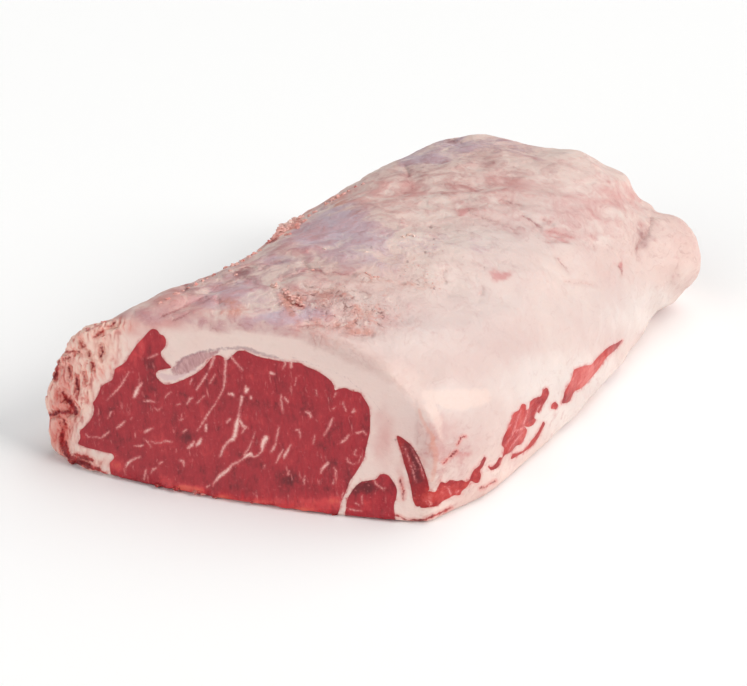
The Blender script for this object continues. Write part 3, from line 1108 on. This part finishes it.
centres = faces(fat.data)[0]
picked = (torn_share(centres) > TORN_ENOUGH) & (centres[:, 1] < cad_low.y + TORN_FINE)
split(fat, lambda face: picked[face.index], FAT_CUTS)
points, normals = numbers(fat.data, "co"), numbers(fat.data, "normal")
gap = torn(points * TEAR_STRETCH, TEAR_SPACING, at=9.0)
share = torn_share(points) * eased(0, BOARD_RISE, points[:, 2])
set_down(fat.data, points + normals * (TEAR_DEPTH * gap * share)[:, None])
written(fat, "gap", gap)
BRIMS = [  # round the lean
    [(x, y, 0) for x, y in (*edge, edge[0])] for edge in (EYE_EDGE, SIDE_EDGE, *FLANK_EDGES)
]
specks = [(speck,) for speck in SPECKS]
marks = (
    *CREASES, *BLOOD, *specks, *SILVER, *FILM, *CLEFTS, *FOLD, *LIP, *RED_LINES, *BRIMS,
)
for strokes, reach in ((marks, MARK_REACH), ((*CLEFTS, *FILM, *LIP, *BLOOD), DARK_REACH)):
    centres, turns = faces(fat.data)
    under = np.array([seen_skin.find_nearest(centre)[3] for centre in centres])
    picked = (under < SHOWN_DEPTH) & (turns @ np.array(LOOK) < 0)
    picked &= outside(in_photo(centres), strokes) < reach
    split(fat, lambda face: picked[face.index], FAT_CUTS)

points, normals = numbers(fat.data, "co"), numbers(fat.data, "normal")
facing = -(normals @ np.array(LOOK))
front = eased(*FRONT, facing)
seen = in_photo(points)
warped, strayed = drifted(seen, points, WARP, 21.0, 33.0), drifted(seen, points, STRAY, 61.0, 67.0)
over_rim = np.interp(strayed[:, 0], *np.transpose(RIM)) - strayed[:, 1]
cap = np.where(points[:, 1] < cad_low.y + FACE_DEPTH, eased(*RIM_SOFT, over_rim), 1.0)
for name, spots, hidden, at in (  # hidden is how strong a tint is where the photograph shows none
    ("cool", COOL, 0.45, 40.0), ("warm", WARM, 0.3, 44.0), ("pink", PINK, 0.4, 48.0),
    ("shade", SHADE, 0.3, 52.0), ("cream", CREAM, 0.4, 56.0),
):
    guessed = (1 - front) * hidden * (0.5 + lumps(points, HIDDEN_SPACING, at=at))
    written(fat, name, tinted(warped, spots) * front + guessed)
for name, strokes in (
    ("bright", BRIGHT), ("fold", FOLD), ("crease", CREASES), ("blood", BLOOD), ("cleft", CLEFTS),
    ("speck", specks), ("silver", SILVER), ("film", FILM), ("lip", LIP), ("lines", RED_LINES),
    ("brim", BRIMS),
):
    apart = np.minimum(outside(strayed, strokes), NO_VEIN)
    written(fat, name, np.where(facing > 0, apart, NO_VEIN))
for name, spots in (("calm", CALM), ("dim", DIM), ("pale", PALE), ("raw", RAW)):
    written(fat, name, np.clip(tinted(seen, spots), 0, STRONGEST) * front)
share = torn_share(points)
shore = eased(*SHORE_UP, over_rim) * eased(*SHORE_DOWN, over_rim)
shore *= eased(*SHORE_END, seen[:, 0]) * front
written(fat, "torn", share)
written(fat, "chain", share * eased(*(cad_low.y + far for far in CHAIN_FROM), points[:, 1]))
written(fat, "pitted", tinted(warped, PITTED) * front * cap)
written(fat, "cut", cut_share(points, normals))
written(fat, "cap", cap)
written(fat, "under", eased(*UNDERSIDE, normals[:, 2]))
written(fat, "shore", shore)

fat_look, w = new_finish("fat")
here = w.place()
along = w.place(turn=(0, 0, -ACROSS_TURN), scale=(0.8, 0.5, 1.0))
broad = w.grain(here, 18.0, 4.0, 0.55)
smears = w.grain(along, 75.0, 3.0, 0.5, 1.0)
streaks = w.grain(along, 190.0, 4.0, 0.6, 1.0)
mottle = w.grain(along, 420.0, 4.0, 0.65)
fray = w.grain(here, 900.0, 3.0, 0.6)
raw = w.grain(here, 190.0, 4.0, 0.6, 0.5)
cap = w.kept("cap")
wild = (cap * 0.75 + 0.25) * (1 - w.kept("calm").held() * 0.65)
stray = (smears * 0.42 + streaks * 0.22 + mottle * 0.14) * wild

# Tints of the cap, the ground first.
ground = (broad * 0.5 + stray * 0.8).eased(-0.7, 0.7)
base = w.between(ground, colour(230, 207, 197), colour(214, 178, 170))
base = w.between(cap, colour(232, 206, 197), base)
base = base.toned((w.kept("cream") + stray * 0.8).eased(0.1, 1.1), 235, 213, 203)
base = base.toned((w.kept("pale") + stray * 0.5).held() * 0.55, 233, 225, 217)
base = base.toned((w.kept("cool") + stray).eased(0.15, 1.0) * 0.8, 194, 172, 186)
base = base.toned((w.kept("pink") + stray * 0.9).eased(0.05, 1.2) * 0.8, 206, 134, 130)
base = base.toned((w.kept("warm") + stray * 1.3).eased(0.2, 1.1) * 0.8, 214, 146, 126)
base = base.toned((w.kept("shade") + stray * 0.8).eased(0.1, 1.3) * 0.8, 150, 98, 98)
base = base.toned(w.kept("shore") * (0.55 + smears * 0.3 + streaks * 0.3).held(), 196, 150, 152)
dimmed = {0: w.kept("dim"), 6: base, 7: (0.84, 0.83, 0.86, 1)}
base = w.node("ShaderNodeMix", {"data_type": "RGBA", "blend_type": "MULTIPLY"}, dimmed, output=2)
edges = 1 - w.maths("ABSOLUTE", smears + mottle * 0.15) * 7.0
base = base.toned((edges.held() * (streaks + 0.3).held() * wild) * 0.35, 162, 92, 88)

# Fine flecks all over it, and pits where it is stained.
pits = w.grain(along, 330.0, 3.0, 0.6, 0.5)
dots = w.grain(along, 560.0, 4.0, 0.7, 0.3)
base = base.toned(dots.eased(0.5, 1.1) * wild * 0.45, 172, 122, 114)
base = base.toned(dots.eased(-0.5, -1.1) * wild * 0.4, 240, 222, 212)
spots = w.grain(along, 180.0, 4.0, 0.7, 0.5)
pitted = w.kept("pitted")
base = base.toned((spots.eased(0.1, 0.7) * pitted).held() * 0.75, 206, 138, 124)
base = base.toned((spots.eased(-0.2, -0.8) * pitted).held() * 0.75, 158, 118, 110)
base = base.toned((pits.eased(0.25, 0.8) * pitted).held() * 0.85, 132, 84, 78)
base = base.toned((pits.eased(-0.4, -0.9) * pitted).held() * 0.7, 238, 218, 206)
bright = w.kept("bright") + streaks * 0.6 + fray * 0.5
base = base.toned(bright.eased(1.0, -4.0) * 0.6, 229, 204, 194)
base = base.toned((w.kept("fold") + fray * 0.6).eased(2.5, -0.5) * 0.4, 214, 144, 124)

# The torn end, and the darker strands of the chain side behind it.
torn_part = w.kept("torn")
gap = w.kept("gap") + raw * 0.35
base = base.toned(torn_part * 0.75, 240, 198, 181)
chain = w.kept("chain")
torn_part = torn_part * (1 - w.kept("cream").held() * 0.65)
strips = w.grain(w.place(turn=(0, 0.45, 0), scale=(1, 0.5, 0.3)), 280.0, 4.0, 0.6, 0.5)
base = base.toned((strips + raw * 0.4).eased(-0.1, 0.9) * torn_part * 0.7, 224, 124, 112)
base = base.toned(strips.eased(-0.4, -1.1) * torn_part * 0.75, 202, 70, 62)
base = base.toned((broad + mottle * 0.5).eased(0.4, 1.4) * torn_part * 0.15, 190, 156, 160)
base = base.toned((w.kept("raw") + strips * 0.5).eased(0.1, 1.3) * torn_part * 0.6, 212, 96, 86)
strands = w.grain(w.place(scale=(1.0, 0.9, 0.35)), 75.0, 4.0, 0.6, 0.8)
base = base.toned((strands + strips * 0.3).eased(-0.1, 0.7) * chain * 0.6, 186, 84, 80)
base = base.toned((strands + strips * 0.3).eased(0.6, 1.3) * chain * 0.7, 146, 38, 42)
torn_gaps = torn_part * (1 - chain * 0.7)
base = base.toned(gap.eased(0.5, -0.5) * torn_gaps * 0.55, 214, 98, 86)
base = base.toned(gap.eased(-0.3, -1.1) * torn_gaps * 0.8, 170, 40, 40)

# Silverskin, creases, thin lines and specks.
hatched = w.grain(w.place(turn=(0, 0.5, 0), scale=(1, 1, 0.3)), 620.0, 3.0, 0.6)
film = w.between(hatched.eased(-0.9, 1.2), colour(166, 112, 116), colour(202, 156, 155))
base = base.toned((w.kept("lip") + fray * 0.6).eased(1.4, -1.2) * 0.7, 212, 178, 180)
base = w.between((w.kept("film") + fray * 0.9).eased(1.4, -1.4) * 0.9, base, film)
base = base.toned((w.kept("silver") + fray * 0.7).eased(1.2, -0.8) * 0.6, 150, 112, 120)
line = w.kept("crease") + streaks * 0.8 + fray * 0.6
base = base.toned(line.eased(5.0, -0.5) * 0.12, 186, 112, 106)
bottom = line.eased(0.5, -0.7) * (raw * 0.5 + 0.5).held() * (cap * 0.75 + 0.25)
base = base.toned(bottom * 0.6, 146, 76, 74)
lines = w.kept("lines") + streaks + fray * 0.6
base = base.toned(lines.eased(1.1, -0.9) * 0.55, 158, 80, 86)
base = base.toned((w.kept("speck") + fray * 0.9).eased(1.0, -0.9) * 0.7, 120, 78, 74)

# Meat that shows through in clefts and lines of blood, and tints the fat round the lean.
red = w.between(raw.eased(-0.5, 0.6), colour(120, 22, 28), colour(186, 52, 50))
cleft = w.kept("cleft") + fray + raw
base = base.toned(cleft.eased(3.0, -0.5) * 0.5, 206, 92, 84)
base = w.between(cleft.eased(0.8, -1.3), base, red)
wound = w.kept("blood") + fray * 0.9 + raw * 0.5
base = base.toned(wound.eased(3.5, 0.0) * 0.45, 208, 98, 90)
base = w.between(wound.eased(0.8, -0.8) * 0.95, base, red)
brim = w.kept("brim") + raw * 1.1 + fray * 0.7
base = base.toned(brim.eased(3.4, -0.4) * 0.5, 216, 140, 134)
base = base.toned(brim.eased(1.2, -0.8) * 0.8, 180, 66, 68)
rough = 0.48 - 0.05 * mottle
height = mottle * 0.00010 + (streaks * 0.00016 + smears * 0.0003) * wild
height = height - line.eased(2.0, -0.8) * wild * 0.0003 - pits * pitted * 0.00030
finish_with(base, rough, height + (raw + strips) * torn_part * 0.00015, FAT_SOFT)
smooth(fat, fat_look)
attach(fat, "root")
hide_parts("fat_cover")

# Crumbs of fat and meat that the saw and the knife left on the cap: small soft lumps, pressed
# into the membrane where it is stained and along the chain side's edge.

# Each is (x, y, size in mm, how red), with x and y in pixels of the photograph.
CRUMBS = (
    (279, 236, 5, 0.5), (284, 232, 6, 0.2), (290, 228, 6.5, 0), (295, 226, 5.5, 0.3),
    (300, 223, 5, 0.2), (305, 221, 3.5, 0.4), (281, 230, 3.5, -0.4), (287, 227, 4, -0.3),
    (292, 224, 3.5, -0.4), (274, 239, 3.5, 0.6), (270, 242, 3, 0.8), (298, 228, 3, 0.6),
    (288, 235, 3, 0.7), (274, 286, 3.6, -0.1), (324, 249, 1.8, -0.8), (366, 252, 1.8, -0.8),
    (403, 237, 2.4, -0.5), (409, 235, 2.6, -0.6), (414, 236, 2.2, -0.5), (369, 275, 1.8, 0),
    (375, 277, 1.6, 0.2), (284, 290, 2.2, 0.1), (287, 293, 2.6, 0.3), (290, 296, 2.4, 0),
    (293, 298, 2.8, 0.2), (296, 301, 2.6, 0), (299, 303, 2.6, 0.3), (302, 305, 2, 0.1),
    (294, 303, 2.2, -0.2), (290, 299, 1.8, 0.3), (298, 298, 1.8, 0.2), (313, 270, 1.8, 0.3),
    (366, 273, 1.8, 0.1), (378, 277, 1.5, 0.2), (371, 278, 1.8, -0.2), (333, 200, 3, 0.1),
    (338, 197, 3, 0.2), (327, 204, 2.8, 0.3), (344, 194, 2.4, 0.3), (249, 257, 2.4, 0),
    (237, 265, 2.6, 0.1), (203, 281, 2, 0.1), (183, 291, 2, 0), (230, 271, 1.8, 0.2),
    (236, 275, 1.8, 0.1), (226, 268, 2.6, 0.6), (233, 266, 3, 0.3), (243, 261, 2.6, 0.5),
    (255, 254, 2.8, 0.7), (260, 251, 2.2, 0.3), (215, 275, 2.4, 0.7), (207, 279, 1.8, 0.4),
    (196, 285, 2.4, 0.6), (189, 288, 1.8, 0.3), (176, 294, 2.4, 0.5), (168, 299, 2, 0.7),
    (160, 303, 2.2, 0.3), (310, 216, 2.6, 0.6), (316, 212, 2.4, 0.3), (349, 191, 2.2, 0.5),
    (356, 187, 2, 0.7), (363, 184, 1.8, 0.4), (104, 322, 2.4, 0.8), (96, 325, 2, 0.6),
    (88, 329, 2.2, 0.9), (72, 463, 3, 1.2), (158, 485, 3, 1.3), (176, 488, 3, 1.2),
    (196, 492, 2.6, 1), (203, 494, 2, 0.7), (216, 497, 2.4, 1.1), (252, 502, 2, 1.2),
    (334, 515, 2, 1.2), (281, 226, 4.6, 0.1), (284, 223, 4.4, -0.3), (290, 221, 4.8, -0.4),
    (296, 219, 4.2, -0.2), (301, 218, 3.6, 0.1),
)
SCATTERED = 150  # more of them, over the pitted places
SCATTERED_SIZE = (0.35, 0.9)  # mm
SCATTERED_RED = (-0.8, 0.6)
SCATTERED_REACH = 0.55  # share of a pitted place's reach
ROUNDER_FROM = (1.2, 2.5)  # mm, sizes past which a crumb has more faces
CRUMB_SHAPE = (1.35, 1, 0.7)  # drawn out sideways and pressed flat
CRUMB_BULGE = (0.8, 2600)  # how lumpy a crumb is, and how finely
WHOLE_TURN = 6.3
# Steps down the picture, in pixels, that are tried until the skin is met, and the share of the
# step that the crumb then stands up again.
STEPS = (0, 1, -1, 2, -2, 3, -3, 4, -4, 6, -6, 8, -8, 11, -11)
STAND_UP = 0.6
CRUMB_SOFT = {
    "Subsurface Weight": 0.05, "Subsurface Radius": (1.0, 0.45, 0.35), "Subsurface Scale": 0.002,
    "Specular IOR Level": 0.4,
}
draw = np.random.default_rng(12)
places = list(CRUMBS)
while len(places) < len(CRUMBS) + SCATTERED:
    x, y, wide, tall, _ = PITTED[draw.integers(len(PITTED))]
    x += draw.normal(0, SCATTERED_REACH) * wide
    y += draw.normal(0, SCATTERED_REACH) * tall
    places.append((x, y, draw.uniform(*SCATTERED_SIZE), draw.uniform(*SCATTERED_RED)))
crumb_mesh = bmesh.new()
crumb_red = []
for x, y, size, red in places:
    tried = ((seen_skin.ray_cast(STAND, ray(x, y + step))[0], step) for step in STEPS)
    spot, step = next(pair for pair in tried if pair[0])
    spot = spot + RISE * (STAND_UP * max(step, 0) * PIXEL)
    level = 1 + sum(size > limit for limit in ROUNDER_FROM)
    made = bmesh.ops.create_icosphere(crumb_mesh, subdivisions=level, radius=size / 2000)
    turn = Matrix.Rotation(draw.uniform(0, WHOLE_TURN), 3, "Z")
    for corner in made["verts"]:
        bumps = corner.co * CRUMB_BULGE[1] / size + Vector((x, y, 0))
        bulge = 1 + CRUMB_BULGE[0] * noise.fractal(bumps, 1.0, 2.0, 2)
        flat = Vector([way * share for way, share in zip(corner.co, CRUMB_SHAPE)]) * bulge
        corner.co = turn @ flat + spot
        corner.co.z = max(corner.co.z, 0)
        crumb_red.append(red)
crumbs = linked("crumbs", crumb_mesh)
written(crumbs, "red", crumb_red)
crumb_look, w = new_finish("crumbs")
here = w.place()
red = w.kept("red") + w.grain(here, 600.0, 3.0, 0.6) * 0.5
base = w.between(red.eased(-0.8, 0.2), colour(232, 204, 192), colour(220, 166, 156))
base = base.toned(red.eased(0.3, 1.2), 202, 104, 98)
base = base.toned(red.eased(0.8, 1.4), 158, 34, 40)
rough = w.grain(here, 300.0) * 0.05 + 0.42
finish_with(base, rough, w.grain(here, 700.0) * 0.00015, CRUMB_SOFT)
smooth(crumbs, crumb_look)
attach(crumbs, "root")

# The floor: a wide plain white board, which isn't part of the meat.
FLOOR_HALF = 4.0
BOARD_WHITE, BOARD_ROUGH = (0.97, 0.97, 0.97, 1), 0.7
floor_mesh = bmesh.new()
bmesh.ops.create_grid(floor_mesh, x_segments=1, y_segments=1, size=FLOOR_HALF)
floor = linked("floor", floor_mesh)
white = bpy.data.materials.new("white board")
white.use_nodes = True
board = white.node_tree.nodes["Principled BSDF"]
board.inputs["Base Color"].default_value = BOARD_WHITE
board.inputs["Roughness"].default_value = BOARD_ROUGH
floor.data.materials.append(white)

# Plain soft studio light: one lamp from the right that models the meat, a wider one from behind
# and above for the cap, a wide low one from the front left for the cut face, and pale walls all
# round that light the shade a little bluer.
LIGHTS = (  # the way towards the lamp, power, width in degrees, colour
    ((0.88, 0.0, 0.515), 2.3, 34, (1.0, 0.965, 0.93)),
    ((0.2, 0.6, 0.8), 1.36, 60, (1.0, 0.985, 0.965)),
    ((-0.4, -0.9, 0.4), 1.42, 60, (1.0, 0.985, 0.97)),
)
WALLS, WALL_TINT = 0.2, (0.85, 0.94, 1.0, 1)
world = bpy.data.worlds.new("studio")
bpy.context.scene.world = world
world.use_nodes = True
walls = world.node_tree.nodes["Background"]
walls.inputs["Color"].default_value = WALL_TINT
walls.inputs["Strength"].default_value = WALLS
for stand, power, wide, tint in LIGHTS:
    lamp = bpy.data.objects.new("lamp", bpy.data.lights.new("lamp", "SUN"))
    lamp.data.energy, lamp.data.angle, lamp.data.color = power, math.radians(wide), tint
    lamp.matrix_world = Vector(stand).to_track_quat("Z", "Y").to_matrix().to_4x4()
    bpy.context.scene.collection.objects.link(lamp)
bpy.context.scene.view_settings.view_transform = "Standard"
